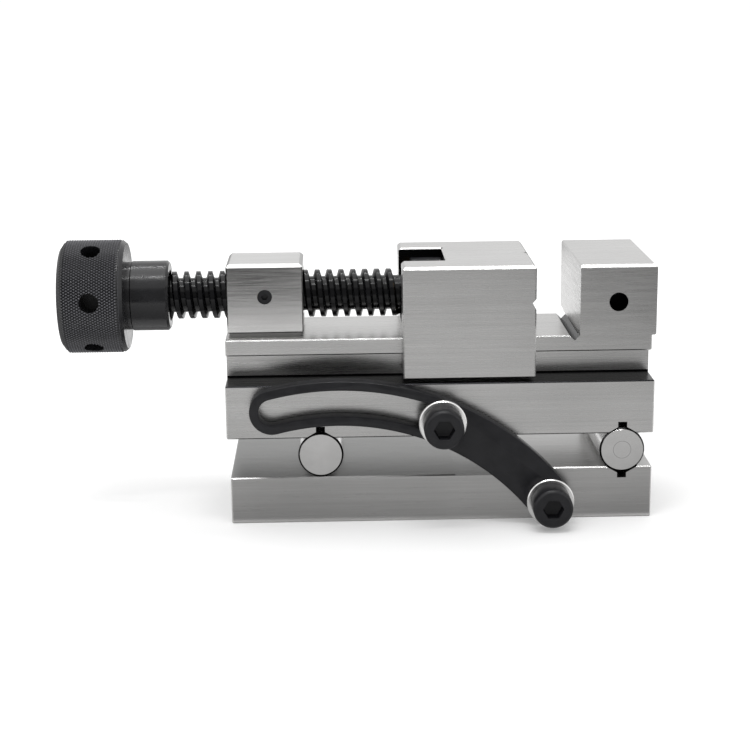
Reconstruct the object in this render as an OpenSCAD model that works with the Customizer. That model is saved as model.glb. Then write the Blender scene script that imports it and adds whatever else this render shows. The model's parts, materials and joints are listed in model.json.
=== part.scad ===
// Sine vise: a tool-maker's screw vise that tilts on a pair of rollers.
// Millimetres. X runs towards the fixed jaw, the link is on the -Y side, Z is up,
// and the origin is the middle of the base plate's underside.

/* [Overall] */
// Length of the base plate
base_l = 140; // [136:1:180]
// How far the vise body stands out past the base plate at the knob's end
body_over = 1; // [0:0.1:3]
// How far the vise body stands out past the base plate at the fixed jaw's end
jaw_over = 0.3; // [0:0.1:2]
// Width of the base plate, the vise body and both jaws
body_w = 50; // [46:1:70]
// Distance between the two roller axes
centre_d = 100; // [96:1:104]
// Distance from the hinge axis to the base plate's end
hinge_end_d = 10; // [9:0.5:14]
// Size of the broken edges
edge_c = 0.4; // [0.2:0.1:0.8]
// Chamfer round the tops of both jaws
jaw_c = 0.9; // [0.4:0.1:1.2]

/* [Rollers] */
// Diameter of both rollers
roller_d = 15; // [14:0.5:16]
// Chamfer at the roller ends
roller_c = 0.6; // [0.3:0.1:1]
// How far a roller sinks into its V-groove, below the flat face
groove_inset = 1.8; // [1.4:0.1:2.4]
// Included angle of the V-grooves
groove_angle = 120; // [110:1:124]
// How far the roller screws lie inside the roller's ends
roller_screw_inset = 9; // [7:0.5:12]
// Depth of a roller screw's counterbore, which leaves the head well below the surface
roller_screw_sunk = 5.2; // [5:0.1:6]
// Width of the relief slot at the bottom of a V-groove
groove_slot_w = 3; // [2:0.5:3.5]
// Depth of the relief slot past the flat face
groove_slot_d = 3.9; // [3.6:0.1:6]

/* [Base plate] */
// Thickness of the base plate under the sine roller
base_pad_t = 15.8; // [14:0.2:22]
// Where the ground landing pad ends
pad_end_x = 4.5; // [-10:0.5:15]
// Depth of the relief past the landing pad
pad_relief = 0.3; // [0.1:0.1:1]
// Where the thicker hinge end begins
hinge_end_x = 26; // [20:1:34]

/* [Vise body] */
// Thickness of the lower plate
plate_t = 18; // [16:0.1:24]
// Height of the neck between the lower plate and the rail
neck_h = 8.5; // [8:0.1:12]
// Width of the neck
neck_w = 24; // [22:0.5:28]
// Height of the rail flange
rail_h = 5.4; // [4.5:0.1:8]
// How far the rail flange lies inside the body's width, on each side
rail_inset = 7; // [6:0.5:8]
// Length of the fixed jaw
jaw_l = 25; // [20:0.5:30]
// Height of both jaws above the rail
jaw_h = 24.8; // [23.6:0.2:32]
// Height of the fixed jaw's overhanging sides above the rail
jaw_lift = 1.4; // [1.2:0.1:2]
// Width of the slanted relief groove at the fixed jaw's root
root_w = 2.4; // [1.8:0.1:2.8]
// Depth of the root groove past the corner
root_d = 0.8; // [0.5:0.1:1.4]
// How far the middle of the root groove lies from the corner, towards the rail
root_shift = 0.55; // [0.4:0.05:0.7]
// Diameter of the work-stop hole in the fixed jaw
stop_hole_d = 6.2; // [5:0.1:8]
// Height of the work-stop hole above the rail
stop_hole_h = 12.5; // [11:0.1:14]
// Depth of the work-stop hole
stop_hole_depth = 14; // [10:0.5:18]

/* [Movable jaw] */
// Length of the movable jaw
slide_l = 43.5; // [40:0.5:50]
// Gap between the jaws as drawn
jaw_gap = 14.3; // [8:0.1:20]
// Gap between the skirts and the lower plate
skirt_gap = 1.5; // [0.8:0.1:2.5]
// Width of the V-grooves in the clamping face
vee_w = 3.6; // [2.4:0.2:5]
// Length of the open pocket at the rear of the jaw
pocket_l = 14.7; // [14.2:0.1:18]
// Width of the open pocket
pocket_w = 25; // [24.4:0.1:30]
// Chamfer round the pocket's mouth
pocket_c = 0.5; // [0.2:0.1:0.8]

/* [Lead screw and nut] */
// Outside diameter of the trapezoidal thread
screw_d = 16; // [14:1:16]
// Thread pitch
screw_pitch = 4; // [3:0.5:5]
// Angle of the thread's flanks to the radius
flank_angle = 15; // [10:1:20]
// Height of the screw axis above the rail
screw_h = 12; // [11.6:0.1:12.6]
// Where the thread meets the knob's hub, from the nut block's outer face
thread_out = 19.4; // [16:0.2:40]
// Journal diameter in the bearing block
journal_d = 10; // [8:0.5:10.5]
// Diameter of the threaded tip behind the journal
tip_d = 8; // [6:0.5:8]
// How far the nut block lies inside the body's end
nut_inset = 0.5; // [0:0.1:2]
// Length of the nut block
nut_block_l = 25.4; // [22:0.2:30]
// Width of the nut block
nut_block_w = 24; // [23.6:0.2:32]
// Height of the nut block above the rail
nut_block_h = 24.2; // [23.6:0.1:30]
// Chamfer round the top of the nut block
nut_block_c = 1.1; // [0.6:0.1:1.3]
// Height and depth of the rabbet round the nut block's foot
foot_rabbet = 1; // [0.5:0.1:1.5]
// Length of the bronze nut
nut_l = 15.7; // [12:0.1:16.5]
// Outside diameter of the bronze nut
nut_d = 19.4; // [19:0.1:20]
// Depth of the counterbores for the block's screws, in the underside of the body
block_screw_sunk = 8; // [6:0.5:10]
// How far the block's screws lie inside the neck's sides
block_screw_inset = 4.5; // [4.2:0.1:5]
// How far the dowels lie inside the block's inner face
dowel_inset = 4; // [3:0.1:5]
// Length of the bearing block
bearing_l = 10.8; // [9:0.1:11]
// How far the bearing block stands above the screw axis
bearing_rise = 9.6; // [9.4:0.1:10.5]
// Height of the bearing block's screws above the screw axis
bearing_screw_rise = 5.5; // [5.2:0.1:6]
// How far the bearing block's screws lie inside the pocket's sides
bearing_screw_inset = 3.8; // [3.7:0.1:4.5]
// Thickness of the thrust washer
thrust_t = 1.5; // [1:0.1:2]
// Thickness of the retaining nut
tip_nut_t = 3; // [2.5:0.1:3.5]

/* [Hand knob] */
// Outside diameter of the knurled knob
knob_d = 38; // [34:1:50]
// Length of the knurled knob
knob_l = 21.7; // [18:0.1:30]
// Chamfer at the knob's rim next to the hub
knob_c = 1.2; // [0.8:0.1:2.5]
// Chamfer at the knob's outer rim
knob_face_c = 2; // [1:0.1:3]
// Diameter of the hub
hub_d = 23.5; // [20:0.5:28]
// Chamfer at the hub's end
hub_c = 0.8; // [0.4:0.1:1.2]
// Length of the hub
hub_l = 14.3; // [12:0.1:24]
// Width of the shallow relief where the hub meets the knob
hub_relief_w = 1.6; // [1:0.1:3]
// Depth of that relief
hub_relief_d = 0.35; // [0.1:0.05:0.6]
// Depth of the hub's counterbore, where the thread begins
thread_sunk = 4.5; // [3:0.1:5]
// Diameter of the screw's stem in the hub
stem_d = 12; // [10:0.5:12.6]
// Number of tommy-bar holes round the knob
tommy_n = 6; // [4:1:8]
// Diameter of the tommy-bar holes
tommy_d = 6.5; // [5:0.5:8]
// Depth of the tommy-bar holes
tommy_depth = 10; // [6:0.5:10]
// Turn of the first tommy-bar hole above the front
tommy_turn = 4; // [0:1:59]

/* [Angle link] */
// Radius of the link's arc, at its middle
link_r = 88; // [84:1:96]
// Width of the link
link_w = 14.8; // [14:0.2:15.4]
// Thickness of the link
link_t = 6; // [4:0.5:8]
// Width of the slot
slot_w = 8.8; // [8.6:0.1:9.4]
// Angle of the arc that the slot takes up, past the clamp screw
slot_sweep = 37; // [28:0.5:42]
// How far the clamp screw lies from the hinge axis, along X
clamp_dx = 60; // [56:0.5:64]
// How far the clamp screw lies above the hinge axis
clamp_dz = 12; // [11:0.5:15]
// How far the pivot screw lies from the hinge axis, along X
pivot_dx = 24.5; // [22:0.5:28]
// Height of the pivot screw above the base plate's underside
pivot_z = 8.1; // [8:0.1:9]
// Diameter of the washers under the screw heads
washer_d = 15.6; // [14.5:0.1:16]
// Thickness of the washers
washer_t = 1.6; // [1:0.1:2.5]

/* [Screws] */
// Thread diameter of the two link screws
link_screw_d = 8; // [6:1:8]
// Thread length of the link screws in the steel
link_screw_grip = 16; // [12:1:20]
// Thread diameter of the roller and bearing-block screws
small_screw_d = 4; // [3:0.5:4]
// Thread diameter of the nut block's screws
block_screw_d = 4; // [3:0.5:4]
// Diameter of the nut's set screw
set_screw_d = 4.8; // [4:0.2:6]
// Height of the set screw above the screw axis
set_screw_rise = 1.2; // [0:0.1:2]
// Diameter of the nut block's dowels
dowel_d = 3; // [2.5:0.5:4]
// Diameter of the pin through the knob's hub
knob_pin_d = 4; // [3:0.5:5]

/* [Clearances] */
// Running clearance of the slide, all round
slide_clear = 0.06; // [0.04:0.01:0.1]
// Gap between the rollers and the base plate
roller_gap = 0.1; // [0.05:0.01:0.2]
// Radial gap round a screw or pin in its hole
hole_gap = 0.05; // [0.03:0.01:0.1]
// Radial gap between the thread and the nut's bore
nut_gap = 0.3; // [0.2:0.05:0.4]
// Gap between the link and the plates behind it
link_gap = 0.3; // [0.2:0.05:0.6]

/* [Hidden] */
$fn = 96;
// Number of flat sides round the thread
thread_sides = 24;

ground_steel = [0.66, 0.66, 0.65];
polished_steel = [0.80, 0.80, 0.80];
black_steel = [0.13, 0.13, 0.13];
bronze = [0.66, 0.49, 0.25];
// A cut goes this far past the face that it opens
past = 1;

half_l = base_l / 2;
body_x0 = -half_l - body_over;
body_x1 = half_l + jaw_over;
half_w = body_w / 2;
rail_w = body_w - 2 * rail_inset;
roller_r = roller_d / 2;
hinge_x = half_l - hinge_end_d;
sine_x = hinge_x - centre_d;
roller_z = base_pad_t + roller_gap + roller_r;
// Distance from a roller's axis to the sharp corner of its V-groove
vee_drop = roller_r / sin(groove_angle / 2);
hinge_end_t = roller_z - roller_r + groove_inset;

plate_z = roller_z + roller_r - groove_inset;
plate_top = plate_z + plate_t;
rail_low = plate_top + neck_h;
rail_z = rail_low + rail_h;
jaw_top = rail_z + jaw_h;
fixed_x = body_x1 - jaw_l;
jaw_low = rail_z + jaw_lift;
stop_hole_x = body_x1 - jaw_l / 2;
stop_hole_z = rail_z + stop_hole_h;

slide_x1 = fixed_x - jaw_gap;
slide_x0 = slide_x1 - slide_l;
skirt_z = plate_top + skirt_gap;
// Room between the jaw's inner lips and the neck
lip_gap = 0.6;
pocket_x = slide_x0 + pocket_l;

axis_z = rail_z + screw_h;
screw_r = screw_d / 2;
// Clearance at the root of the thread
thread_clear = 0.25;
thread_depth = screw_pitch / 2 + thread_clear;
// Width of the thread's crest as a share of the pitch
crest_share = 0.366;
root_r = screw_r - thread_depth;
// Gap between the thread and the floor of the pocket
pocket_floor_gap = 0.4;
pocket_z = axis_z - screw_r - pocket_floor_gap;
bearing_x0 = pocket_x - bearing_l;
shoulder_x = bearing_x0 - thrust_t - hole_gap;
nut_x0 = body_x0 + nut_inset;
nut_x1 = nut_x0 + nut_block_l;
nut_mid_x = (nut_x0 + nut_x1) / 2;
hub_x1 = nut_x0 - thread_out;
thread_x0 = hub_x1 - thread_sunk;
knob_x1 = hub_x1 - hub_l;
knob_x0 = knob_x1 - knob_l;
// Steel left between the stem's end and the knob's outer face
stem_cover = 3;
// Room at the stem's end
stem_room = 0.2;
journal_r = journal_d / 2;
tip_r = tip_d / 2;
// Room left round the retaining nut in its recess
tip_room = 0.3;
tip_recess_d = tip_nut_t + 2 * tip_room;
tip_nut_r = journal_r + 2;

// Link geometry in the X-Z plane, on the front of the plates
pivot_p = [hinge_x - pivot_dx, pivot_z];
clamp_p = [hinge_x - clamp_dx, roller_z + clamp_dz];
chord = norm(clamp_p - pivot_p);
chord_dir = (clamp_p - pivot_p) / chord;
link_c = (pivot_p + clamp_p) / 2 + [chord_dir[1], -chord_dir[0]] * -sqrt(link_r * link_r - chord * chord / 4);
function polar(p) = atan2(p[1] - link_c[1], p[0] - link_c[0]);
pivot_a = polar(pivot_p);
clamp_a = polar(clamp_p);
slot_a = clamp_a + slot_sweep;
front_y = -half_w;
link_y = front_y - link_gap;
washer_y = link_y - link_t - hole_gap;
head_y = washer_y - washer_t;
// The clamp screw is waisted where it stands in the slot
clamp_waist_d = 5;

// A cap screw's head is this much wider than one and a half thread diameters
head_extra = 1;
function head_d(d) = d * 1.5 + head_extra;

// Places of the small screws
roller_screw_y = half_w - roller_screw_inset;
small_hole_d = small_screw_d + 2 * hole_gap;
small_head_d = head_d(small_screw_d) + 4 * hole_gap;
block_screw_x = nut_x0 + (nut_block_l - nut_l) / 2;
block_screw_y = neck_w / 2 - block_screw_inset;
block_screw_seat = plate_z + block_screw_sunk;
// How far the block's screws reach up past the rail
block_screw_reach = 4.2;
dowel_x = nut_x1 - dowel_inset;
// How far the dowels reach into the rail and into the block
dowel_sunk = 6;
dowel_reach = 2.4;
bearing_screw_y = pocket_w / 2 - bearing_screw_inset;
bearing_screw_z = axis_z + bearing_screw_rise;
bearing_screw_grip = 8;
// How far the heads lie below the face of the bearing block
head_cover = 0.2;
bearing_screw_sunk = small_screw_d + head_cover;
knob_pin_x = (thread_x0 + knob_x1) / 2;
// Steel left in front of the pin's hole, and how far the pin's end lies below the hub's surface
knob_pin_cover = 3;
knob_pin_sunk = 0.5;
knob_pin_y0 = -hub_d / 2 + knob_pin_cover;
// How far the set screw lies below the block's face
set_screw_sunk = 0.3;

// Box from its low corner with the edges of its top broken by top_c and the others by c
module edged_box(size, c, top_c) {
    intersection() {
        linear_extrude(size[2]) broken_rect(size[0], size[1], c, c);
        translate([0, size[1], 0]) rotate([90, 0, 0]) linear_extrude(size[1])
            broken_rect(size[0], size[2], c, top_c);
        rotate([90, 0, 90]) linear_extrude(size[0]) broken_rect(size[1], size[2], c, top_c);
    }
}

module broken_rect(w, h, c, top_c) {
    polygon([[c, 0], [w - c, 0], [w, c], [w, h - top_c], [w - top_c, h], [top_c, h], [0, h - top_c], [0, c]]);
}

// Box between two X and two Z values, centred on Y
module mid_box(x0, x1, w, z0, z1, c = 0, top_c = 0) {
    translate([x0, -w / 2, z0])
        if (c > 0) edged_box([x1 - x0, w, z1 - z0], c, max(c, top_c));
        else cube([x1 - x0, w, z1 - z0]);
}

// Cylinder that starts at p and points along +X, +Y or +Z
module bar_x(p, d, l) { translate(p) rotate([0, 90, 0]) cylinder(d = d, h = l); }
module bar_y(p, d, l) { translate(p) rotate([-90, 0, 0]) cylinder(d = d, h = l); }
module bar_z(p, d, l) { translate(p) cylinder(d = d, h = l); }

// V-groove and relief slot for a roller, cut upwards from a flat face at z = 0
module roller_groove(drop, slot_d) {
    half = (drop - roller_r + groove_inset) * tan(groove_angle / 2);
    peak = drop - roller_r + groove_inset;
    rotate([90, 0, 0]) translate([0, 0, -half_w - past]) linear_extrude(body_w + 2 * past) {
        polygon([[-half, 0], [half, 0], [half, -past], [-half, -past]]);
        polygon([[-half, -0.01], [half, -0.01], [half, 0], [0, peak], [-half, 0]]);
        translate([-groove_slot_w / 2, -past]) square([groove_slot_w, slot_d + past]);
    }
}

// Socket head cap screw: the head's underside is at z = 0 and the shank points along +Z
module cap_screw(d, l, waist_d = 0, waist_l = 0) {
    head_c = d * 0.1;
    difference() {
        union() {
            translate([0, 0, -d]) cylinder(d1 = head_d(d) - 2 * head_c, d2 = head_d(d), h = head_c);
            translate([0, 0, -d + head_c]) cylinder(d = head_d(d), h = d - head_c);
            cylinder(d = waist_d > 0 ? waist_d : d, h = waist_d > 0 ? waist_l : l);
            if (waist_d > 0) translate([0, 0, waist_l]) cylinder(d = d, h = l - waist_l);
        }
        translate([0, 0, -d - past]) cylinder(d = d * 0.866, h = d * 0.55 + past, $fn = 6);
    }
}

module washer(outer, inner, t) {
    c = t * 0.2;
    difference() {
        union() {
            cylinder(d1 = outer - 2 * c, d2 = outer, h = c);
            translate([0, 0, c]) cylinder(d = outer, h = t - c);
        }
        translate([0, 0, -past]) cylinder(d = inner, h = t + 2 * past);
    }
}

// Base plate with its landing pad, hinge end and hinge groove
module base_plate() {
    color(ground_steel) difference() {
        union() {
            mid_box(-half_l, half_l, body_w, 0, base_pad_t, edge_c);
            mid_box(hinge_end_x, half_l, body_w, edge_c, hinge_end_t, edge_c);
            mid_box(hinge_end_x, half_l - edge_c, body_w - 2 * edge_c, 0, base_pad_t);
        }
        mid_box(pad_end_x, hinge_end_x, body_w + 2 * past, base_pad_t - pad_relief, base_pad_t + past);
        translate([hinge_x, 0, hinge_end_t]) mirror([0, 0, 1])
            roller_groove(vee_drop + roller_gap, groove_slot_d);
        link_screw_hole(pivot_p);
    }
}

// Blind hole in the front of a plate for one of the link screws
module link_screw_hole(p) {
    bar_y([p[0], front_y - past, p[1]], link_screw_d + 2 * hole_gap, link_screw_grip + 1 + past);
}

module link_pivot_screw() {
    color(black_steel) translate([pivot_p[0], head_y, pivot_p[1]]) rotate([-90, 0, 0])
        cap_screw(link_screw_d, front_y - head_y + link_screw_grip);
}

module link_washer(p) {
    translate([p[0], head_y, p[1]]) rotate([-90, 0, 0])
        washer(washer_d, link_screw_d + 2 * hole_gap, washer_t);
}

module link_pivot_washer() { color(black_steel) link_washer(pivot_p); }

module angle_clamp_washer() { color(black_steel) link_washer(clamp_p); }

module angle_clamp_screw() {
    color(black_steel) translate([clamp_p[0], head_y, clamp_p[1]]) rotate([-90, 0, 0])
        cap_screw(link_screw_d, front_y - head_y + link_screw_grip, clamp_waist_d, front_y - head_y);
}

// Fixed jaw: a full-width block on a foot as wide as the rail
module fixed_jaw() {
    intersection() {
        rotate([90, 0, 0]) translate([0, 0, -half_w]) linear_extrude(body_w) polygon([
            [fixed_x, jaw_low], [body_x1 - edge_c, jaw_low], [body_x1, jaw_low + edge_c],
            [body_x1, jaw_top - jaw_c], [body_x1 - jaw_c, jaw_top], [fixed_x + edge_c, jaw_top],
            [fixed_x, jaw_top - edge_c]]);
        mid_box(fixed_x - past, body_x1 + past, body_w, jaw_low - past, jaw_top, edge_c, jaw_c);
    }
    mid_box(fixed_x, body_x1, rail_w, rail_low, jaw_low + 2 * edge_c, edge_c);
}

module roller_screw_hole(x) {
    for (side = [-1, 1])
        bar_z([x, side * roller_screw_y, plate_z - past], small_hole_d, small_screw_d * 2.5 + past);
}

// One-piece vise body: lower plate, neck, rail and fixed jaw
module vise_body() {
    color(ground_steel) difference() {
        union() {
            mid_box(body_x0, body_x1, body_w, plate_z, plate_top, edge_c);
            mid_box(body_x0, body_x1, neck_w, plate_top - edge_c, rail_low + edge_c);
            mid_box(body_x0, body_x1, rail_w, rail_low, rail_z, edge_c);
            fixed_jaw();
        }
        translate([fixed_x, 0, rail_z]) rotate([0, 45, 0])
            translate([-root_w, -half_w, -root_w / 2 - root_shift])
                cube([root_w + root_d, body_w, root_w]);
        for (x = [sine_x, hinge_x]) {
            translate([x, 0, plate_z]) roller_groove(vee_drop, groove_slot_d);
            roller_screw_hole(x);
        }
        bar_y([stop_hole_x, front_y - past, stop_hole_z], stop_hole_d, stop_hole_depth + past);
        link_screw_hole(clamp_p);
        for (side = [-1, 1]) {
            bar_z([block_screw_x, side * block_screw_y, plate_z - past], block_screw_d + 2 * hole_gap,
                rail_z - plate_z + 2 * past);
            bar_z([block_screw_x, side * block_screw_y, plate_z - past], head_d(block_screw_d) + head_extra,
                block_screw_seat - plate_z + past);
            bar_z([dowel_x, side * block_screw_y, rail_z - dowel_sunk], dowel_d + 2 * hole_gap,
                dowel_sunk + past);
        }
    }
}

// Roller along Y with counterbored holes for its two screws
module roller(x) {
    color(polished_steel) difference() {
        translate([x, half_w, roller_z]) rotate([90, 0, 0]) {
            cylinder(r1 = roller_r - roller_c, r2 = roller_r, h = roller_c);
            translate([0, 0, roller_c]) cylinder(r = roller_r, h = body_w - 2 * roller_c);
            translate([0, 0, body_w - roller_c])
                cylinder(r1 = roller_r, r2 = roller_r - roller_c, h = roller_c);
        }
        for (side = [-1, 1]) {
            bar_z([x, side * roller_screw_y, roller_z - roller_r - past], small_hole_d, roller_d + 2 * past);
            bar_z([x, side * roller_screw_y, roller_z - roller_r - past], small_head_d,
                roller_screw_sunk + past);
        }
    }
}

module hinge_roller() { roller(hinge_x); }

module sine_roller() { roller(sine_x); }

module roller_screws() {
    color(black_steel) for (x = [sine_x, hinge_x]) for (side = [-1, 1])
        translate([x, side * roller_screw_y, roller_z - roller_r + roller_screw_sunk])
            cap_screw(small_screw_d, roller_d - roller_screw_sunk - groove_inset + small_screw_d * 2);
}

// Block at the end of the rail that holds the bronze nut
module nut_block() {
    color(ground_steel) difference() {
        union() {
            mid_box(nut_x0, nut_x1, nut_block_w, rail_z + foot_rabbet, rail_z + nut_block_h, edge_c,
                nut_block_c);
            mid_box(nut_x0 + foot_rabbet, nut_x1 - foot_rabbet, nut_block_w - 2 * foot_rabbet, rail_z,
                rail_z + foot_rabbet + 2 * edge_c);
        }
        bar_x([nut_x0 - past, 0, axis_z], screw_d + 2 * nut_gap, nut_block_l + 2 * past);
        bar_x([nut_x1 - nut_l, 0, axis_z], nut_d + 2 * hole_gap, nut_l + past);
        bar_y([nut_mid_x, -nut_block_w / 2 - past, axis_z + set_screw_rise], set_screw_d + 2 * hole_gap,
            nut_block_w / 2 + past);
        for (side = [-1, 1]) {
            bar_z([block_screw_x, side * block_screw_y, rail_z - past], block_screw_d + 2 * hole_gap,
                block_screw_reach + hole_gap + past);
            bar_z([dowel_x, side * block_screw_y, rail_z - past], dowel_d + 2 * hole_gap,
                dowel_reach + hole_gap + past);
        }
    }
}

module screw_nut() {
    color(bronze) difference() {
        bar_x([nut_x1 - nut_l, 0, axis_z], nut_d, nut_l - edge_c);
        bar_x([nut_x0 - past, 0, axis_z], screw_d + 2 * nut_gap, nut_block_l + 2 * past);
    }
}

// Grub screw in the front of the nut block, bearing on the nut
module nut_set_screw() {
    outer_y = -nut_block_w / 2 + set_screw_sunk;
    set_z = axis_z + set_screw_rise;
    color(black_steel) difference() {
        bar_y([nut_mid_x, outer_y, set_z], set_screw_d, -outer_y - nut_d / 2 - hole_gap);
        translate([nut_mid_x, outer_y - past, set_z]) rotate([-90, 0, 0])
            cylinder(d = set_screw_d * 0.5, h = past + set_screw_d * 0.25, $fn = 6);
    }
}

module nut_block_screws() {
    color(black_steel) for (side = [-1, 1])
        translate([block_screw_x, side * block_screw_y, block_screw_seat])
            cap_screw(block_screw_d, rail_z + block_screw_reach - block_screw_seat);
}

module nut_block_dowels() {
    color(polished_steel) for (side = [-1, 1])
        bar_z([dowel_x, side * block_screw_y, rail_z - dowel_sunk], dowel_d, dowel_sunk + dowel_reach);
}

// Horizontal V along Y at the clamping face, and one down its middle
module clamping_vees() {
    half = vee_w / 2;
    translate([slide_x1, half_w + past, axis_z]) rotate([90, 0, 0]) linear_extrude(body_w + 2 * past)
        polygon([[past, -half - past], [past, half + past], [-half, 0]]);
    translate([slide_x1, 0, rail_z - past]) linear_extrude(jaw_h + 2 * past)
        polygon([[past, -half - past], [past, half + past], [-half, 0]]);
}

// Chamfer round the mouth of the rear pocket
module pocket_mouth() {
    half = pocket_w / 2;
    low = jaw_top - pocket_c;
    high = jaw_top + past;
    translate([slide_x0 - past, 0, 0]) rotate([90, 0, 90]) linear_extrude(pocket_l + past) polygon([
        [-half, low], [half, low], [half + pocket_c, jaw_top], [half + pocket_c, high],
        [-half - pocket_c, high], [-half - pocket_c, jaw_top]]);
    translate([0, half, 0]) rotate([90, 0, 0]) linear_extrude(pocket_w) polygon([
        [pocket_x - past, low], [pocket_x, low], [pocket_x + pocket_c, jaw_top], [pocket_x + pocket_c, high],
        [pocket_x - past, high]]);
}

// Saddle jaw: its skirts reach down past the rail and its lips hook under it
module movable_jaw() {
    color(ground_steel) difference() {
        mid_box(slide_x0, slide_x1, body_w, skirt_z, jaw_top, edge_c, jaw_c);
        mid_box(slide_x0 - past, slide_x1 + past, rail_w + 2 * slide_clear, rail_low - slide_clear,
            rail_z + slide_clear);
        mid_box(slide_x0 - past, slide_x1 + past, neck_w + 2 * lip_gap, skirt_z - past, rail_z);
        mid_box(slide_x0 - past, pocket_x, pocket_w, pocket_z, jaw_top + past);
        pocket_mouth();
        clamping_vees();
        for (side = [-1, 1])
            bar_x([pocket_x - past, side * bearing_screw_y, bearing_screw_z], small_hole_d,
                bearing_screw_grip + 1 + past);
        bar_x([pocket_x - past, 0, axis_z], 2 * tip_nut_r + 4 * tip_room, tip_room + past);
    }
}

// Block in the rear pocket that the screw's journal turns in
module bearing_block() {
    color(black_steel) difference() {
        mid_box(bearing_x0, pocket_x, pocket_w - 2 * hole_gap, pocket_z, axis_z + bearing_rise, edge_c);
        bar_x([bearing_x0 - past, 0, axis_z], journal_d + 2 * hole_gap, bearing_l + 2 * past);
        bar_x([pocket_x - tip_recess_d, 0, axis_z], 2 * tip_nut_r + 4 * tip_room, tip_recess_d + past);
        for (side = [-1, 1]) {
            bar_x([bearing_x0 - past, side * bearing_screw_y, bearing_screw_z], small_hole_d,
                bearing_l + 2 * past);
            bar_x([bearing_x0 - past, side * bearing_screw_y, bearing_screw_z], small_head_d,
                bearing_screw_sunk + past);
        }
    }
}

module bearing_block_screws() {
    color(black_steel) for (side = [-1, 1])
        translate([bearing_x0 + bearing_screw_sunk, side * bearing_screw_y, bearing_screw_z])
            rotate([0, 90, 0])
                cap_screw(small_screw_d, bearing_l - bearing_screw_sunk + bearing_screw_grip);
}

module thrust_washer() {
    color(bronze) translate([bearing_x0 - thrust_t, 0, axis_z]) rotate([0, 90, 0])
        washer(screw_d - 2, journal_d + 2 * hole_gap, thrust_t);
}

// Round nut on the screw's tip, behind the bearing block's journal bore
module tip_nut() {
    color(black_steel) difference() {
        bar_x([pocket_x - tip_nut_t - tip_room, 0, axis_z], 2 * tip_nut_r, tip_nut_t);
        bar_x([pocket_x - bearing_l, 0, axis_z], tip_d + 2 * hole_gap, 2 * bearing_l);
    }
}

// Trapezoidal thread along +Z from z = 0, as one helical skin with flat ends.
// Each column of points climbs the flanks, and the last column joins the first one turn up.
module thread(length) {
    turns = floor((length - screw_pitch * 1.2) / screw_pitch);
    lead_in = (length - turns * screw_pitch - screw_pitch) / 2;
    // Axial places and radii of the four corners of one tooth
    crest_z = screw_pitch * crest_share / 2;
    foot_z = crest_z + thread_depth * tan(flank_angle);
    corner_z = [-foot_z, -crest_z, crest_z, foot_z] + screw_pitch / 2 * [1, 1, 1, 1];
    corner_r = [root_r, screw_r, screw_r, root_r];
    rows = 4 * turns + 2;
    function climb(col) = lead_in + screw_pitch * col / thread_sides;
    function spot(col, row) =
        row == 0 ? [root_r, 0] :
        row == rows - 1 ? [root_r, length] :
        [corner_r[(row - 1) % 4], climb(col) + screw_pitch * floor((row - 1) / 4) + corner_z[(row - 1) % 4]];
    points = [for (col = [0 : thread_sides - 1]) for (row = [0 : rows - 1])
        let (s = spot(col, row), a = 360 * col / thread_sides) [s[0] * cos(a), s[0] * sin(a), s[1]]];
    last = thread_sides - 1;
    function at(col, row) = col * rows + row;
    function quad(c0, r0, c1, r1) =
        [[at(c0, r0), at(c1, r1), at(c1, r1 + 1)], [at(c0, r0), at(c1, r1 + 1), at(c0, r0 + 1)]];
    sides = [for (col = [0 : last - 1]) for (row = [0 : rows - 2]) each quad(col, row, col + 1, row)];
    seam = [for (row = [1 : rows - 7]) each quad(last, row, 0, row + 4)];
    seam_low = concat([for (row = [0 : 4]) [at(last, 0), at(0, row), at(0, row + 1)]],
        [[at(last, 0), at(0, 5), at(last, 1)]]);
    seam_high = concat([for (row = [rows - 6 : rows - 2]) [at(last, row), at(0, rows - 1), at(last, row + 1)]],
        [[at(last, rows - 6), at(0, rows - 2), at(0, rows - 1)]]);
    low_cap = [for (col = [1 : last - 1]) [at(0, 0), at(col + 1, 0), at(col, 0)]];
    high_cap = [for (col = [1 : last - 1]) [at(0, rows - 1), at(col, rows - 1), at(col + 1, rows - 1)]];
    faces = concat(sides, seam, seam_low, seam_high, low_cap, high_cap);
    polyhedron(points, [for (f = faces) [f[0], f[2], f[1]]]);
}

// Right-hand lead screw: stem in the knob, thread, journal and threaded tip
module lead_screw() {
    color(black_steel) translate([0, 0, axis_z]) {
        translate([thread_x0, 0, 0]) rotate([0, 90, 0]) thread(shoulder_x - thread_x0);
        difference() {
            bar_x([knob_x0 + stem_cover, 0, 0], stem_d, thread_x0 - knob_x0 - stem_cover);
            knob_pin_hole();
        }
        bar_x([shoulder_x, 0, 0], journal_d, pocket_x - tip_recess_d - shoulder_x + tip_room / 2);
        bar_x([pocket_x - tip_recess_d, 0, 0], tip_d, tip_recess_d - tip_room / 2);
    }
}

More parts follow.
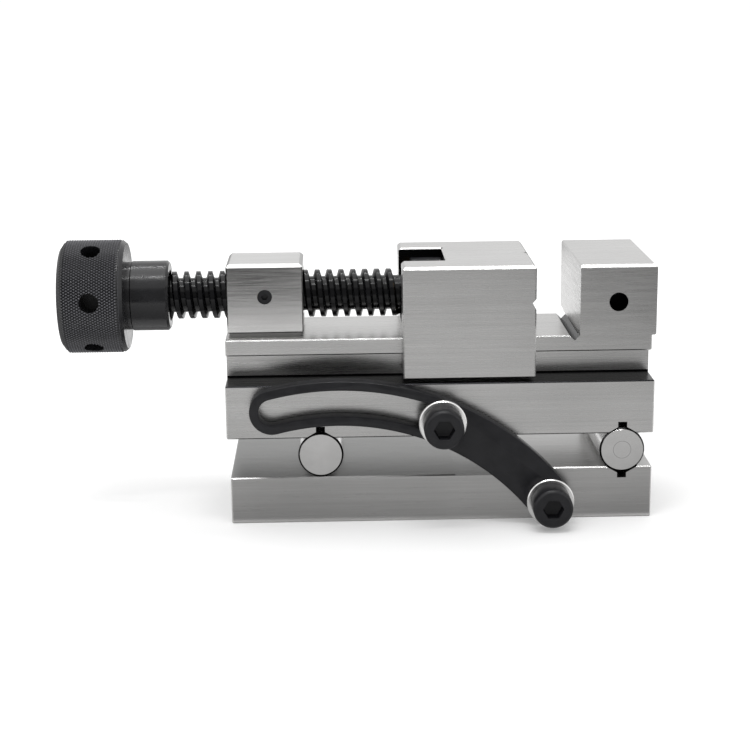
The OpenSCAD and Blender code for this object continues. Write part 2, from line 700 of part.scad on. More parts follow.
// Knurled hand knob with its hub and the radial tommy-bar holes
module hand_knob() {
    color(black_steel) translate([0, 0, axis_z]) difference() {
        rotate([0, 90, 0]) rotate_extrude() polygon([
            [0, knob_x0], [knob_d / 2 - knob_face_c, knob_x0], [knob_d / 2, knob_x0 + knob_face_c],
            [knob_d / 2, knob_x1 - knob_c], [knob_d / 2 - knob_c, knob_x1],
            [hub_d / 2 - hub_relief_d, knob_x1], [hub_d / 2 - hub_relief_d, knob_x1 + hub_relief_w],
            [hub_d / 2, knob_x1 + hub_relief_w + hub_relief_d],
            [hub_d / 2, hub_x1 - hub_c], [hub_d / 2 - hub_c, hub_x1], [0, hub_x1]]);
        bar_x([knob_x0 + stem_cover - stem_room, 0, 0], stem_d + 2 * hole_gap, knob_l + hub_l);
        for (i = [0 : tommy_n - 1])
            translate([(knob_x0 + knob_x1) / 2, 0, 0]) rotate([-tommy_turn - i * 360 / tommy_n, 0, 0])
                bar_y([0, -knob_d / 2 - past, 0], tommy_d, tommy_depth + past);
        bar_x([thread_x0, 0, 0], screw_d + 4 * nut_gap, thread_sunk + past);
        knob_pin_hole();
    }
}

// Blind hole from the back through the hub and the stem, from the screw axis
module knob_pin_hole() {
    bar_y([knob_pin_x, knob_pin_y0 - hole_gap, 0], knob_pin_d + 2 * hole_gap, hub_d);
}

module knob_pin() {
    color(black_steel) bar_y([knob_pin_x, knob_pin_y0, axis_z], knob_pin_d,
        hub_d / 2 - knob_pin_sunk - knob_pin_y0);
}

// Sector of a ring round the link's arc centre, from a0 over the angle sweep
module arc_band(w, t, a0, sweep) {
    rotate([0, 0, a0]) rotate_extrude(angle = sweep) translate([link_r - w / 2, 0]) square([w, t]);
}

module arc_spot(a, d, t) { rotate([0, 0, a]) translate([link_r, 0, 0]) cylinder(d = d, h = t); }

// Slotted arc link that swings on the pivot screw and locks the tilt at the clamp screw
module arc_link() {
    color(black_steel) translate([link_c[0], link_y, link_c[1]]) rotate([90, 0, 0]) difference() {
        union() {
            arc_band(link_w, link_t, pivot_a, slot_a - pivot_a);
            arc_spot(pivot_a, link_w, link_t);
            arc_spot(slot_a, link_w, link_t);
        }
        translate([0, 0, -past]) {
            arc_band(slot_w, link_t + 2 * past, clamp_a, slot_a - clamp_a);
            arc_spot(clamp_a, slot_w, link_t + 2 * past);
            arc_spot(slot_a, slot_w, link_t + 2 * past);
            arc_spot(pivot_a, link_screw_d + 2 * hole_gap, link_t + 2 * past);
        }
    }
}

base_plate();
link_pivot_screw();
link_pivot_washer();
vise_body();
hinge_roller();
sine_roller();
roller_screws();
nut_block();
screw_nut();
nut_set_screw();
nut_block_screws();
nut_block_dowels();
angle_clamp_screw();
angle_clamp_washer();
movable_jaw();
bearing_block();
bearing_block_screws();
thrust_washer();
tip_nut();
lead_screw();
hand_knob();
knob_pin();
arc_link();
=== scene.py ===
import json
import math

import bmesh
import bpy
from mathutils import Matrix, Vector

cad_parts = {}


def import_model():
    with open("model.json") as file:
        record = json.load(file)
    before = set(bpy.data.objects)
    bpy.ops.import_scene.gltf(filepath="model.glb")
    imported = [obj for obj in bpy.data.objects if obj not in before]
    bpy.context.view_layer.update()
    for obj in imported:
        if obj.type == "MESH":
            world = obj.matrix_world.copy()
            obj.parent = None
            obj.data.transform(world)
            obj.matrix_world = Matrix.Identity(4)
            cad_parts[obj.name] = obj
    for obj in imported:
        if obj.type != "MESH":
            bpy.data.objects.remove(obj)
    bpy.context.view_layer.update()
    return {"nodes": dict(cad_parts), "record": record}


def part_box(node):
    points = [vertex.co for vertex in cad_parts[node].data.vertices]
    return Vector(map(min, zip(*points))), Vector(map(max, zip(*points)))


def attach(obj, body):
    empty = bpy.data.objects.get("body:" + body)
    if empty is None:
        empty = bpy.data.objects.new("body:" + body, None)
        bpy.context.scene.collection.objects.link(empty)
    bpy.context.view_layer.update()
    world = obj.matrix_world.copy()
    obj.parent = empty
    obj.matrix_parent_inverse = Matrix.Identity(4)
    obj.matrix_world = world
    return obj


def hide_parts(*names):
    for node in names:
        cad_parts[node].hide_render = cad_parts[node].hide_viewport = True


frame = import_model()
nodes = frame["nodes"]

MM = 0.001

# Sizes in millimetres, as in the part's source
AXIS_Z = 73.0
KNOB_X0 = -125.9
KNOB_X1 = -104.2
KNOB_R = 19.0
KNOB_CHAMFER = 1.2
KNOB_FACE_CHAMFER = 2.0
HUB_X1 = -89.9
HUB_R = 11.75
THREAD_X0 = -94.4
COUNTERBORE_R = 8.6
HUB_RELIEF_W = 1.6
HUB_RELIEF_D = 0.35
HUB_CHAMFER = 0.8
STEM_R = 6.0
STEM_X0 = -122.9
STEM_ROOM = 0.2
TOMMY_COUNT = 6
TOMMY_R = 3.25
TOMMY_DEPTH = 10.0
TOMMY_TURN = 4.0
PIN_X = -99.3
PIN_Y0 = -8.75
PIN_R = 2.0
FIT = 0.05
CUT_PAST = 2.0
SCREW_R = 8.0
SCREW_ROOT_R = 5.75
SCREW_PITCH = 4.0
SHOULDER_X = -10.15
JOURNAL_R = 5.0
JOURNAL_X1 = -1.25
TIP_R = 4.0
TIP_X1 = 2.05


# Materials

STREAK_LONG = 14
STREAK_FINE = 900


def new_material(name):
    """A material with an empty node tree, its Principled shader and a helper that adds nodes."""
    mat = bpy.data.materials.new(name)
    mat.use_nodes = True
    tree = mat.node_tree
    shader = tree.nodes["Principled BSDF"]

    def add(kind, links=None, **values):
        node = tree.nodes.new(kind)
        for key, value in values.items():
            if key.startswith("in_"):
                node.inputs[int(key[3:])].default_value = value
            else:
                setattr(node, key, value)
        for slot, source in (links or {}).items():
            tree.links.new(source, node.inputs[slot])
        return node

    return mat, tree, shader, add


def ramp(add, source, stops):
    node = add("ShaderNodeValToRGB", {0: source})
    elements = node.color_ramp.elements
    while len(elements) < len(stops):
        elements.new(0.5)
    for element, (place, value) in zip(elements, stops):
        element.position = place
        element.color = (*value, 1) if isinstance(value, tuple) else (value, value, value, 1)
    return node.outputs["Color"]


def grinding(add, coarse):
    """Streaks left by the grinding wheel: along X on most faces, along Y on the end faces."""
    coords = add("ShaderNodeTexCoord")
    split = add("ShaderNodeSeparateXYZ", {0: coords.outputs["Normal"]})
    size = add("ShaderNodeMath", {0: split.outputs[0]}, operation="ABSOLUTE")
    end_face = add("ShaderNodeMath", {0: size.outputs[0]}, operation="GREATER_THAN", in_1=0.8)
    long = coarse * STREAK_LONG
    fine = coarse * STREAK_FINE
    along_x = add("ShaderNodeMapping", {0: coords.outputs["Object"]}, in_3=(long, fine, fine))
    along_y = add("ShaderNodeMapping", {0: coords.outputs["Object"]}, in_3=(fine, long, fine))
    place = add("ShaderNodeMix", {0: end_face.outputs[0], 4: along_x.outputs[0], 5: along_y.outputs[0]},
        data_type="VECTOR")
    noise = add("ShaderNodeTexNoise", {0: place.outputs[1]}, in_2=4.0, in_3=3.0, in_4=0.6)
    return noise.outputs["Fac"], coords


def between(add, source, low, high):
    """1 where the value lies between two limits, in millimetres."""
    above = add("ShaderNodeMath", {0: source}, operation="GREATER_THAN", in_1=low * MM)
    below = add("ShaderNodeMath", {0: source}, operation="LESS_THAN", in_1=high * MM)
    return add("ShaderNodeMath", {0: above.outputs[0], 1: below.outputs[0]}, operation="MULTIPLY").outputs[0]


def inside_box(add, coords, box):
    """1 inside a box of X, Y and Z limits."""
    split = add("ShaderNodeSeparateXYZ", {0: coords.outputs["Object"]})
    total = None
    for axis, (low, high) in enumerate(box):
        share = between(add, split.outputs[axis], low, high)
        if total is not None:
            share = add("ShaderNodeMath", {0: total, 1: share}, operation="MULTIPLY").outputs[0]
        total = share
    return total


def off_axis(add, coords, place, across):
    """Distance in metres from an axis through a place, measured in the two directions across it."""
    back = tuple(-MM * value for value in place)
    moved = add("ShaderNodeMapping", {0: coords.outputs["Object"]}, in_1=back, in_3=across)
    return add("ShaderNodeVectorMath", {0: moved.outputs[0]}, operation="LENGTH").outputs["Value"]


def polished_steel(name, axis=None, shade_and_mark_rings=(), grey=0.54):
    """Lapped steel, with darker rings on the ends of a roller, for painted shade at the end's edge and for a
    centre mark.

    Each ring has two distances from the roller's axis, which lies along Y, and a shade."""
    mat, tree, shader, add = new_material(name)
    coords = add("ShaderNodeTexCoord")
    cloud = add("ShaderNodeTexNoise", {0: coords.outputs["Object"]}, in_2=160.0, in_3=4.0)
    colour = ramp(add, cloud.outputs["Fac"], [(0.3, steel_grey(grey * 0.93)), (0.7, steel_grey(grey * 1.07))])
    split = add("ShaderNodeSeparateXYZ", {0: coords.outputs["Object"]})
    out = add("ShaderNodeMath", {0: split.outputs[1]}, operation="ABSOLUTE").outputs[0]
    for low, high, shade in shade_and_mark_rings:
        near = between(add, off_axis(add, coords, axis, (1, 0, 1)), low, high)
        end = between(add, out, ROLLER_END, ROLLER_END + 2)
        inside = add("ShaderNodeMath", {0: near, 1: end}, operation="MULTIPLY").outputs[0]
        colour = add("ShaderNodeMix", {0: inside, 6: colour}, data_type="RGBA",
            in_7=(shade, shade, shade, 1)).outputs[2]
    tree.links.new(colour, shader.inputs["Base Color"])
    tree.links.new(ramp(add, cloud.outputs["Fac"], [(0.3, 0.16), (0.7, 0.26)]), shader.inputs["Roughness"])
    shader.inputs["Metallic"].default_value = 1.0
    return mat


def steel_grey(value):
    """Grey with the faint warmth of bare steel."""
    return (value, value * 0.992, value * 0.98)


def ground_steel(name, shade_black_boxes=(), shade_grey_boxes=(), shade=1.0, rough=0.31, relief=0.25):
    """Surface-ground steel. Boxes are painted black or grey as painted shade."""
    mat, tree, shader, add = new_material(name)
    fine, coords = grinding(add, 1.0)
    broad, _ = grinding(add, 0.22)
    cloud = add("ShaderNodeTexNoise", {0: coords.outputs["Object"]}, in_2=28.0, in_3=3.0)
    tint = add("ShaderNodeMath", {0: fine, 1: broad}, operation="ADD")
    tint = add("ShaderNodeMath", {0: tint.outputs[0], 1: cloud.outputs["Fac"]}, operation="ADD")
    tint = add("ShaderNodeMath", {0: tint.outputs[0]}, operation="DIVIDE", in_1=3.0)
    colour = ramp(add, tint.outputs[0], [(0.34, steel_grey(0.43 * shade)), (0.5, steel_grey(0.49 * shade)),
        (0.66, steel_grey(0.56 * shade))])
    # Painted shade: each box is painted black or grey where shade falls
    for boxes, paint in ((shade_black_boxes, PAINTED_SHADE_BLACK), (shade_grey_boxes, PAINTED_SHADE_GREY)):
        for box in boxes:
            colour = add("ShaderNodeMix", {0: inside_box(add, coords, box), 6: colour}, data_type="RGBA",
                in_7=paint).outputs[2]
    tree.links.new(colour, shader.inputs["Base Color"])
    tree.links.new(ramp(add, fine, [(0.25, rough - 0.06), (0.75, rough + 0.06)]), shader.inputs["Roughness"])
    bump = add("ShaderNodeBump", {2: fine}, in_0=relief, in_1=0.00002)
    tree.links.new(bump.outputs[0], shader.inputs["Normal"])
    shader.inputs["Metallic"].default_value = 1.0
    return mat


def black_steel(name, rough, shade, gloss=0.3, crest_light=None):
    """Black oxide with a thin film of oil, which may be painted lighter grey towards the outside.

    The lighter grey grows between two distances from the screw's axis and ends in a tone: a painted highlight
    on the knurl's crests."""
    mat, tree, shader, add = new_material(name)
    coords = add("ShaderNodeTexCoord")
    cloud = add("ShaderNodeTexNoise", {0: coords.outputs["Object"]}, in_2=220.0, in_3=5.0, in_4=0.6)
    speck = add("ShaderNodeTexNoise", {0: coords.outputs["Object"]}, in_2=2600.0, in_3=2.0)
    low = (shade * 0.75, shade * 0.75, shade * 0.88)
    high = (shade * 1.3, shade * 1.3, shade * 1.5)
    colour = ramp(add, cloud.outputs["Fac"], [(0.3, low), (0.7, high)])
    if crest_light:
        deep, high_up, tone = crest_light
        distance = off_axis(add, coords, (0, 0, AXIS_Z), (0, 1, 1))
        crest_share = add("ShaderNodeMapRange", {0: distance}, in_1=deep * MM, in_2=high_up * MM)
        colour = add("ShaderNodeMix", {0: crest_share.outputs[0], 6: colour}, data_type="RGBA",
            in_7=(tone, tone, tone * 1.1, 1)).outputs[2]
    tree.links.new(colour, shader.inputs["Base Color"])
    tree.links.new(ramp(add, cloud.outputs["Fac"], [(0.3, rough - 0.06), (0.7, rough + 0.08)]),
        shader.inputs["Roughness"])
    bump = add("ShaderNodeBump", {2: speck.outputs["Fac"]}, in_0=0.12, in_1=0.00001)
    tree.links.new(bump.outputs[0], shader.inputs["Normal"])
    shader.inputs["Specular IOR Level"].default_value = gloss
    return mat


def bronze():
    mat, tree, shader, add = new_material("bronze")
    coords = add("ShaderNodeTexCoord")
    cloud = add("ShaderNodeTexNoise", {0: coords.outputs["Object"]}, in_2=300.0, in_3=4.0)
    tree.links.new(ramp(add, cloud.outputs["Fac"], [(0.3, (0.42, 0.27, 0.11)), (0.7, (0.55, 0.38, 0.17))]),
        shader.inputs["Base Color"])
    tree.links.new(ramp(add, cloud.outputs["Fac"], [(0.3, 0.25), (0.7, 0.4)]), shader.inputs["Roughness"])
    shader.inputs["Metallic"].default_value = 1.0
    return mat


# Painted shade in black: the fixed jaw's stop hole and root groove, the lower plate's top under the flange,
# the rear pocket.
# Painted shade in grey: the rail's front edge and the base's top.
PAINTED_SHADE_BLACK = (0.012, 0.012, 0.013, 1)
PAINTED_SHADE_GREY = (0.24, 0.24, 0.237, 1)
STOP_HOLE = [(54.6, 61.0), (-24.6, -10.0), (70.3, 76.7)]
ROOT_LOW = [(42.9, 46.9), (-17.9, 17.9), (58.9, 60.94)]
ROOT_HIGH = [(45.34, 46.9), (-17.9, 17.9), (60.94, 62.2)]
PLATE_TOP = [(-80, 80), (-30, 30), (46.68, 47.6)]
RAIL_EDGE = [(-71, 45), (-18.02, -17.58), (60.58, 61.02)]
BASE_TOP = [(-80, 80), (-24.5, 24.5), (12.0, 16.2)]
POCKET = [(-12.4, 2.3), (-12.52, 12.52), (64.5, 85.2)]

STEEL = ground_steel("ground_steel", rough=0.16, relief=0.04)
# Painted shade: the base's steel is a darker copy of the ground steel, with its top painted grey
BASE_STEEL = ground_steel("ground_steel_base", shade_grey_boxes=[BASE_TOP], shade=0.9)
# Painted shade: black in the body's stop hole, root groove and on the lower plate's top, grey on the rail's
# front edge, black in the jaw's pocket
BODY_STEEL = ground_steel("ground_steel_body", [STOP_HOLE, PLATE_TOP, ROOT_LOW, ROOT_HIGH], [RAIL_EDGE],
    rough=0.28)
JAW_STEEL = ground_steel("ground_steel_jaw", [POCKET], rough=0.28)
POLISHED = polished_steel("polished_steel")
ROLLER_Z = 23.4
ROLLER_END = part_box("sine_roller")[1][1] / MM - 0.65
# Painted shade: the ring from 6.95 to 8 mm darkens each roller's end chamfer; the hinge roller's inner ring
# is its centre mark
SINE_ROLLER = polished_steel("polished_steel_sine", (-40, 0, ROLLER_Z), [(6.95, 8, 0.03)])
HINGE_ROLLER = polished_steel("polished_steel_hinge", (60, 0, ROLLER_Z), [(6.95, 8, 0.03), (2.85, 3.0, 0.3)])
WASHER_STEEL = polished_steel("washer_steel", grey=0.85)
BLACK = black_steel("black_steel", 0.36, 0.011)
# Painted highlight: the knurl's crests turn lighter grey with their distance from the axis
KNURL_CREST_LIGHT = (18.66, 18.98, 0.14)
KNURLED = black_steel("black_steel_knurled", 0.3, 0.009, 0.5, KNURL_CREST_LIGHT)
TURNED = black_steel("black_steel_turned", 0.22, 0.008, 0.4)
OILED = black_steel("black_steel_oiled", 0.1, 0.004, 0.22)
BRONZE = bronze()

LOOKS = {
    "ground_steel": STEEL,
    "polished_steel": POLISHED,
    "black_steel": BLACK,
    "bronze": BRONZE,
}
OWN_LOOKS = {
    "base_plate": BASE_STEEL,
    "vise_body": BODY_STEEL,
    "movable_jaw": JAW_STEEL,
    "sine_roller": SINE_ROLLER,
    "hinge_roller": HINGE_ROLLER,
    "link_pivot_washer": WASHER_STEEL,
    "angle_clamp_washer": WASHER_STEEL,
}


def set_material(obj, mat):
    obj.data.materials.clear()
    obj.data.materials.append(mat)


for subpart in frame["record"]["subparts"]:
    set_material(nodes[subpart["node"]], LOOKS[subpart["material_slot"]])
for node, look in OWN_LOOKS.items():
    set_material(nodes[node], look)


# Meshes


def make_object(name, verts, faces, mat):
    """A mesh object from millimetre points, with outward normals and smooth round faces."""
    mesh = bpy.data.meshes.new(name)
    mesh.from_pydata([Vector(v) * MM for v in verts], [], faces)
    mesh.update()
    obj = bpy.data.objects.new(name, mesh)
    bpy.context.scene.collection.objects.link(obj)
    clean(obj)
    set_material(obj, mat)
    return obj


def clean(obj, weld=1e-7):
    bm = bmesh.new()
    bm.from_mesh(obj.data)
    bmesh.ops.remove_doubles(bm, verts=bm.verts, dist=weld)
    bmesh.ops.dissolve_degenerate(bm, edges=bm.edges, dist=weld)
    bmesh.ops.recalc_face_normals(bm, faces=bm.faces)
    bm.to_mesh(obj.data)
    bm.free()


def smooth(obj, angle=32.0):
    obj.data.polygons.foreach_set("use_smooth", [True] * len(obj.data.polygons))
    obj.data.set_sharp_from_angle(angle=math.radians(angle))


def apply_modifiers(obj):
    depsgraph = bpy.context.evaluated_depsgraph_get()
    mesh = bpy.data.meshes.new_from_object(obj.evaluated_get(depsgraph))
    old = obj.data
    obj.modifiers.clear()
    obj.data = mesh
    bpy.data.meshes.remove(old)


def ring(x, r, cols):
    """Points of a circle round the screw axis."""
    points = []
    for col in range(cols):
        a = 2 * math.pi * col / cols
        points.append((x, -r * math.cos(a), AXIS_Z + r * math.sin(a)))
    return points


def cut(obj, cutters):
    """Subtracts the cutters, which are deleted."""
    for cutter in cutters:
        tool = obj.modifiers.new("cut", "BOOLEAN")
        tool.operation = "DIFFERENCE"
        tool.solver = "EXACT"
        tool.object = cutter
    bpy.context.view_layer.update()
    apply_modifiers(obj)
    for cutter in cutters:
        bpy.data.objects.remove(cutter)


def rod(name, p0, p1, r, cols=48):
    """Closed cylinder between two points, in millimetres."""
    p0 = Vector(p0)
    axis = (Vector(p1) - p0)
    side = axis.orthogonal().normalized()
    other = axis.normalized().cross(side)
    verts = []
    for end in (p0, p0 + axis):
        for col in range(cols):
            a = 2 * math.pi * col / cols
            verts.append(end + r * (math.cos(a) * side + math.sin(a) * other))
    faces = [(c, (c + 1) % cols, cols + (c + 1) % cols, cols + c) for c in range(cols)]
    faces += [tuple(reversed(range(cols))), tuple(range(cols, 2 * cols))]
    return make_object(name, verts, faces, BLACK)


# Hand knob

KNURL_AROUND = 119
KNURL_PITCH_X = 1.7
KNURL_DEPTH = 0.42
KNURL_PLAIN = 0.25


def pin_hole():
    """Cutter for the blind hole from the back through the hub and the stem."""
    return rod("cutter", (PIN_X, PIN_Y0 - FIT, AXIS_Z), (PIN_X, HUB_R + CUT_PAST, AXIS_Z), PIN_R + FIT)


def hand_knob():
    """Diamond knurl as real pyramids, smooth rims, hub, tommy-bar holes and the pin's hole."""
    cols = 2 * KNURL_AROUND
    x0 = KNOB_X0 + KNURL_PLAIN
    x1 = KNOB_X1 - KNOB_CHAMFER - KNURL_PLAIN
    rows = 2 * round((x1 - x0) / KNURL_PITCH_X)
    verts = []
    rings = []

    def put(x, r):
        rings.append(len(verts))
        verts.extend(ring(x, r, cols))

    put(STEM_X0 - STEM_ROOM, STEM_R + FIT)
    put(THREAD_X0, STEM_R + FIT)
    put(THREAD_X0, COUNTERBORE_R)
    put(HUB_X1, COUNTERBORE_R)
    put(HUB_X1, HUB_R - HUB_CHAMFER)
    put(HUB_X1 - HUB_CHAMFER, HUB_R)
    put(KNOB_X1 + HUB_RELIEF_W + HUB_RELIEF_D, HUB_R)
    put(KNOB_X1 + HUB_RELIEF_W, HUB_R - HUB_RELIEF_D)
    put(KNOB_X1, HUB_R - HUB_RELIEF_D)
    put(KNOB_X1, KNOB_R - KNOB_CHAMFER)
    put(KNOB_X1 - KNOB_CHAMFER, KNOB_R - KNURL_DEPTH / 2)
    first = len(rings)
    for row in range(rows + 1):
        x = x1 + (x0 - x1) * row / rows
        rings.append(len(verts))
        for col, point in enumerate(ring(x, 1.0, cols)):
            crest = KNOB_R - max(0, KNOB_X0 + KNOB_FACE_CHAMFER - x)
            groove = (row + col) % 2 == 0 or row in (0, rows)
            r = crest - KNURL_DEPTH if groove else crest
            verts.append((x, point[1] * r, AXIS_Z + (point[2] - AXIS_Z) * r))
    last = len(rings) - 1
    put(KNOB_X0, KNOB_R - KNOB_FACE_CHAMFER - KNURL_DEPTH)
    faces = []
    for k in range(len(rings) - 1):
        a, b = rings[k], rings[k + 1]
        for col in range(cols):
            nxt = (col + 1) % cols
            quad = (a + col, a + nxt, b + nxt, b + col)
            if first <= k < last:
                # The fold of each cell runs along the groove
                if (k - first + col) % 2 == 0:
                    faces += [(quad[0], quad[1], quad[2]), (quad[0], quad[2], quad[3])]
                else:
                    faces += [(quad[0], quad[1], quad[3]), (quad[1], quad[2], quad[3])]
            else:
                faces.append(quad)
    faces.append(tuple(range(rings[0], rings[0] + cols)))
    faces.append(tuple(range(rings[-1], rings[-1] + cols)))
    knob = make_object("knob_with_knurl", verts, faces, KNURLED)
    cutters = []
    mid = (KNOB_X0 + KNOB_X1) / 2
    for i in range(TOMMY_COUNT):
        a = math.radians(TOMMY_TURN + i * 360 / TOMMY_COUNT)
        out = Vector((0, -math.cos(a), math.sin(a)))
        centre = Vector((mid, 0, AXIS_Z))
        inner = centre + out * (KNOB_R - TOMMY_DEPTH)
        outer = centre + out * (KNOB_R + CUT_PAST)
        cutters.append(rod("cutter", inner, outer, TOMMY_R))
    cutters.append(pin_hole())
    cut(knob, cutters)
    smooth(knob)
    set_material(knob, KNURLED)
    knob.data.materials.append(TURNED)
    for face in knob.data.polygons:
        turned = face.center.x > (KNOB_X1 - FIT / 5) * MM
        face.material_index = 1 if turned else 0
    return knob


knob = hand_knob()
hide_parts("hand_knob")
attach(knob, "spindle")


# Lead screw

THREAD_COLS = 96
# Place along one pitch and radius, from root to root, with broken crest corners
TOOTH = [(0.15, SCREW_ROOT_R), (0.185, SCREW_ROOT_R + 0.3), (0.305, SCREW_R - 0.17), (0.34, SCREW_R),
    (0.66, SCREW_R), (0.695, SCREW_R - 0.17), (0.815, SCREW_ROOT_R + 0.3), (0.85, SCREW_ROOT_R)]


def lead_screw():
    """Stem, right-hand trapezoidal thread, journal and tip as one closed skin."""
    cols = THREAD_COLS
    length = SHOULDER_X - THREAD_X0
    turns = math.floor((length - SCREW_PITCH * 1.2) / SCREW_PITCH)
    lead_in = (length - turns * SCREW_PITCH - SCREW_PITCH) / 2
    teeth = len(TOOTH)
    rows = teeth * turns + 2
    verts = []
    for col in range(cols):
        a = 2 * math.pi * col / cols
        for row in range(rows):
            if row in (0, rows - 1):
                x, r = (0.0 if row == 0 else length), SCREW_ROOT_R
            else:
                turn, corner = divmod(row - 1, teeth)
                x = lead_in + SCREW_PITCH * (turn + col / cols + TOOTH[corner][0])
                r = TOOTH[corner][1]
            verts.append((THREAD_X0 + x, r * math.sin(a), AXIS_Z - r * math.cos(a)))
    last = cols - 1

    def at(col, row):
        return col * rows + row

    faces = []
    for col in range(last):
        for row in range(rows - 1):
            faces.append((at(col, row), at(col + 1, row), at(col + 1, row + 1), at(col, row + 1)))
    for row in range(1, rows - teeth - 2):
        faces.append((at(last, row), at(0, row + teeth), at(0, row + teeth + 1), at(last, row + 1)))
    faces += [(at(last, 0), at(0, row), at(0, row + 1)) for row in range(teeth + 1)]
    faces.append((at(last, 0), at(0, teeth + 1), at(last, 1)))
    run_out = rows - teeth - 2
    faces += [(at(last, row), at(0, rows - 1), at(last, row + 1)) for row in range(run_out, rows - 1)]
    faces.append((at(last, run_out), at(0, rows - 2), at(0, rows - 1)))

    def lathe(edge, profile):
        """Carries a ring of existing points on through the profile's circles and closes it."""
        for x, r in profile:
            new = []
            for col in range(cols):
                a = 2 * math.pi * col / cols
                new.append(len(verts))
                verts.append((x, r * math.sin(a), AXIS_Z - r * math.cos(a)))
            for col in range(cols):
                nxt = (col + 1) % cols
                faces.append((edge[col], edge[nxt], new[nxt], new[col]))
            edge = new
        faces.append(tuple(edge))

    lathe([at(col, 0) for col in range(cols)], [(THREAD_X0, STEM_R), (STEM_X0, STEM_R)])
    lathe([at(col, rows - 1) for col in range(cols)],
        [(SHOULDER_X, JOURNAL_R), (JOURNAL_X1, JOURNAL_R), (JOURNAL_X1, TIP_R), (TIP_X1, TIP_R)])
    screw = make_object("lead_screw_thread", verts, faces, OILED)
    cut(screw, [pin_hole()])
    smooth(screw, 24.0)
    set_material(screw, OILED)
    return screw


screw = lead_screw()
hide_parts("lead_screw")
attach(screw, "spindle")


# Rounded copies of CAD solids


def rounded_copy(name, node, body, mat, width, segments=2):
    """Copy of a CAD solid with its edges rounded, which stands for it."""
    piece = bpy.data.objects.new(name, nodes[node].data.copy())
    bpy.context.scene.collection.objects.link(piece)
    bm = bmesh.new()
    bm.from_mesh(piece.data)
    bmesh.ops.remove_doubles(bm, verts=bm.verts, dist=1e-6)
    bmesh.ops.dissolve_limit(bm, angle_limit=math.radians(1.0), verts=bm.verts, edges=bm.edges)
    bmesh.ops.recalc_face_normals(bm, faces=bm.faces)
    bm.to_mesh(piece.data)
    bm.free()
    bevel = piece.modifiers.new("bevel", "BEVEL")
    bevel.width = width * MM
    bevel.segments = segments
    bevel.limit_method = "ANGLE"
    bevel.angle_limit = math.radians(40)
    bpy.context.view_layer.update()
    apply_modifiers(piece)
    set_material(piece, mat)
    smooth(piece)
    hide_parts(node)
    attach(piece, body)
    return piece


rounded_copy("arc_link_eased", "arc_link", "link", BLACK, 0.35)
rounded_copy("pivot_screw_eased", "link_pivot_screw", "base", BLACK, 0.3)
rounded_copy("clamp_screw_eased", "angle_clamp_screw", "tilting_vise", BLACK, 0.3)


# Stage, light and camera

FLOOR_SIZE = 14.0
BACKGROUND = (1.0, 1.0, 1.0, 1.0)


def white_rays(add):
    """1 for camera, glossy and transmission rays, 0 for diffuse light."""
    path = add("ShaderNodeLightPath")
    total = add("ShaderNodeMath", {0: path.outputs["Is Camera Ray"], 1: path.outputs["Is Glossy Ray"]},
        operation="MAXIMUM")
    total = add("ShaderNodeMath", {0: total.outputs[0], 1: path.outputs["Is Transmission Ray"]},
        operation="MAXIMUM")
    return total.outputs[0]


def floor():
    half = FLOOR_SIZE / 2
    mesh = bpy.data.meshes.new("floor")
    corners = [(-half, -half, 0), (half, -half, 0), (half, half, 0), (-half, half, 0)]
    mesh.from_pydata(corners, [], [(0, 1, 2, 3)])
    obj = bpy.data.objects.new("floor", mesh)
    bpy.context.scene.collection.objects.link(obj)
    mat, tree, shader, add = new_material("floor")
    shader.inputs["Base Color"].default_value = (0.86, 0.86, 0.86, 1)
    shader.inputs["Roughness"].default_value = 0.6
    shader.inputs["Specular IOR Level"].default_value = 0.0
    coords = add("ShaderNodeTexCoord")
    away = add("ShaderNodeVectorMath", {0: coords.outputs["Object"]}, operation="LENGTH")
    lift = add("ShaderNodeEmission", {0: ramp(add, away.outputs["Value"], [(0.1, 0.16), (0.6, 0.38)]),
        1: white_rays(add)})
    both = add("ShaderNodeAddShader", {0: shader.outputs[0], 1: lift.outputs[0]})
    tree.links.new(both.outputs[0], tree.nodes["Material Output"].inputs["Surface"])
    mesh.materials.append(mat)


def world(strength):
    sky = bpy.data.worlds.new("studio")
    bpy.context.scene.world = sky
    sky.use_nodes = True
    tree = sky.node_tree
    shader = tree.nodes["Background"]

    def add(kind, links=None, **values):
        node = tree.nodes.new(kind)
        for key, value in values.items():
            setattr(node, key, value)
        for slot, source in (links or {}).items():
            tree.links.new(source, node.inputs[slot])
        return node

    level = add("ShaderNodeMapRange", {0: white_rays(add)})
    level.inputs[3].default_value = strength
    level.inputs[4].default_value = 1.0
    shader.inputs["Color"].default_value = BACKGROUND
    tree.links.new(level.outputs[0], shader.inputs["Strength"])


def card(name, corners, stops):
    """Glowing card out of the camera's sight, which only shows as a painted reflection in the metal.

    The stops give its brightness by the distance in front of the vise, in metres."""
    mesh = bpy.data.meshes.new(name)
    mesh.from_pydata(corners, [], [(0, 1, 2, 3)])
    obj = bpy.data.objects.new(name, mesh)
    bpy.context.scene.collection.objects.link(obj)
    mat, tree, shader, add = new_material(name)
    coords = add("ShaderNodeTexCoord")
    split = add("ShaderNodeSeparateXYZ", {0: coords.outputs["Object"]})
    ahead = add("ShaderNodeMath", {0: split.outputs[1]}, operation="MULTIPLY", in_1=-1.0)
    glow = add("ShaderNodeEmission", {0: ramp(add, ahead.outputs[0], stops)})
    tree.links.new(glow.outputs[0], tree.nodes["Material Output"].inputs["Surface"])
    mat.cycles.emission_sampling = "NONE"
    mesh.materials.append(mat)
    obj.visible_camera = False
    obj.visible_diffuse = False
    obj.visible_transmission = False
    obj.visible_shadow = False


def floor_card(name, x0, x1, y0, y1, z, stops):
    card(name, [(x0, y0, z), (x1, y0, z), (x1, y1, z), (x0, y1, z)], stops)


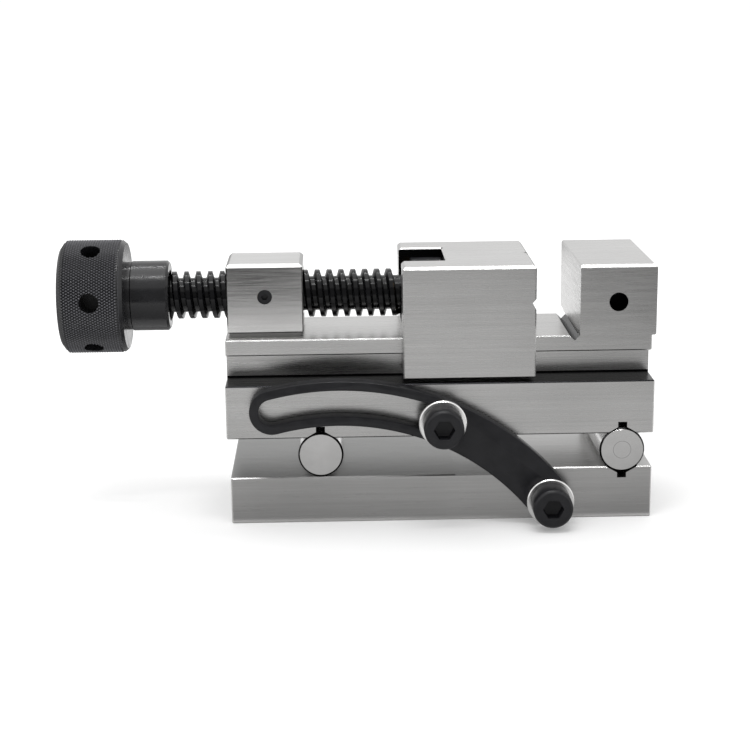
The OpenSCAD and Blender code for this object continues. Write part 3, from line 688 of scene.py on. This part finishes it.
def softbox(name, place, target, size, power):
    lamp = bpy.data.lights.new(name, "AREA")
    lamp.shape = "RECTANGLE"
    lamp.size, lamp.size_y = size
    lamp.energy = power
    obj = bpy.data.objects.new(name, lamp)
    obj.location = place
    obj.rotation_euler = (Vector(target) - Vector(place)).to_track_quat("-Z", "Y").to_euler()
    bpy.context.scene.collection.objects.link(obj)


CAMERA_PLACE = Vector((-33.8, -578.2, 187.6)) * MM
CAMERA_YAW = math.radians(-1.242)
CAMERA_PITCH = math.radians(13.934)
CAMERA_ROLL = math.radians(0.622)
FOCAL_PX = 1741.3
IMAGE_PX = 750
SENSOR_MM = 36.0


def camera():
    right = Vector((math.cos(CAMERA_YAW), math.sin(CAMERA_YAW), 0))
    ahead = Vector((-math.sin(CAMERA_YAW), math.cos(CAMERA_YAW), 0))
    look = math.cos(CAMERA_PITCH) * ahead - math.sin(CAMERA_PITCH) * Vector((0, 0, 1))
    up = math.sin(CAMERA_PITCH) * ahead + math.cos(CAMERA_PITCH) * Vector((0, 0, 1))
    turned_right = math.cos(CAMERA_ROLL) * right - math.sin(CAMERA_ROLL) * up
    turned_up = math.sin(CAMERA_ROLL) * right + math.cos(CAMERA_ROLL) * up
    data = bpy.data.cameras.new("camera")
    data.sensor_fit = "HORIZONTAL"
    data.sensor_width = SENSOR_MM
    data.lens = SENSOR_MM * FOCAL_PX / IMAGE_PX
    data.clip_start = 0.01
    data.clip_end = 50
    obj = bpy.data.objects.new("camera", data)
    turn = Matrix((turned_right, turned_up, -look)).transposed()
    obj.matrix_world = Matrix.Translation(CAMERA_PLACE) @ turn.to_4x4()
    bpy.context.scene.collection.objects.link(obj)
    bpy.context.scene.camera = obj


floor()
world(0.75)
# Painted reflection: glowing cards seen only by the metal, darker ones for floor and room in shade, a bright
# one for a lit patch
floor_card("card_front", -1.5, 1.5, -1.1, -0.027, 0.0004,
    [(0.027, 0.4), (0.06, 0.55), (0.1, 0.72), (0.15, 0.8), (0.22, 0.92), (0.5, 0.95), (1.0, 0.4)])
floor_card("card_behind", -1.5, 1.5, 0.027, 0.15, 0.0004, [(-1.0, 0.4), (1.0, 0.4)])
card("card_low", [(-1.5, 0.5, 0.0), (1.5, 0.5, 0.0), (1.5, 0.5, 0.1), (-1.5, 0.5, 0.1)],
    [(-1.0, 0.45), (1.0, 0.45)])
floor_card("card_bright", -0.3, -0.035, -0.335, -0.25, 0.0008, [(0.0, 1.5), (1.0, 1.5)])
floor_card("card_left", -1.5, -0.035, -1.1, -0.335, 0.0008, [(0.0, 0.1), (1.0, 0.1)])
floor_card("card_right", 0.085, 1.5, -1.1, -0.24, 0.0008, [(0.0, 0.25), (1.0, 0.25)])
card("card_back", [(-1.5, -1.1, 0.0), (1.5, -1.1, 0.0), (1.5, -1.1, 0.8), (-1.5, -1.1, 0.8)],
    [(0.0, 0.3), (1.0, 0.3)])
softbox("top", (-0.05, 0.0, 1.1), (-0.02, 0, 0.05), (0.9, 0.8), 3.6)
softbox("strip_ahead", (-0.05, -0.29, 1.06), (-0.05, 0, 0.07), (0.5, 0.012), 1.2)
softbox("strip_behind", (-0.05, 0.48, 0.97), (-0.05, 0, 0.07), (0.5, 0.012), 1.2)
softbox("front_left", (-0.8, -0.9, 0.8), (-0.02, 0, 0.05), (0.6, 0.6), 1.6)
softbox("front_right", (0.9, -0.8, 0.6), (-0.02, 0, 0.05), (0.5, 0.5), 0.8)
camera()
bpy.context.scene.view_settings.view_transform = "Standard"
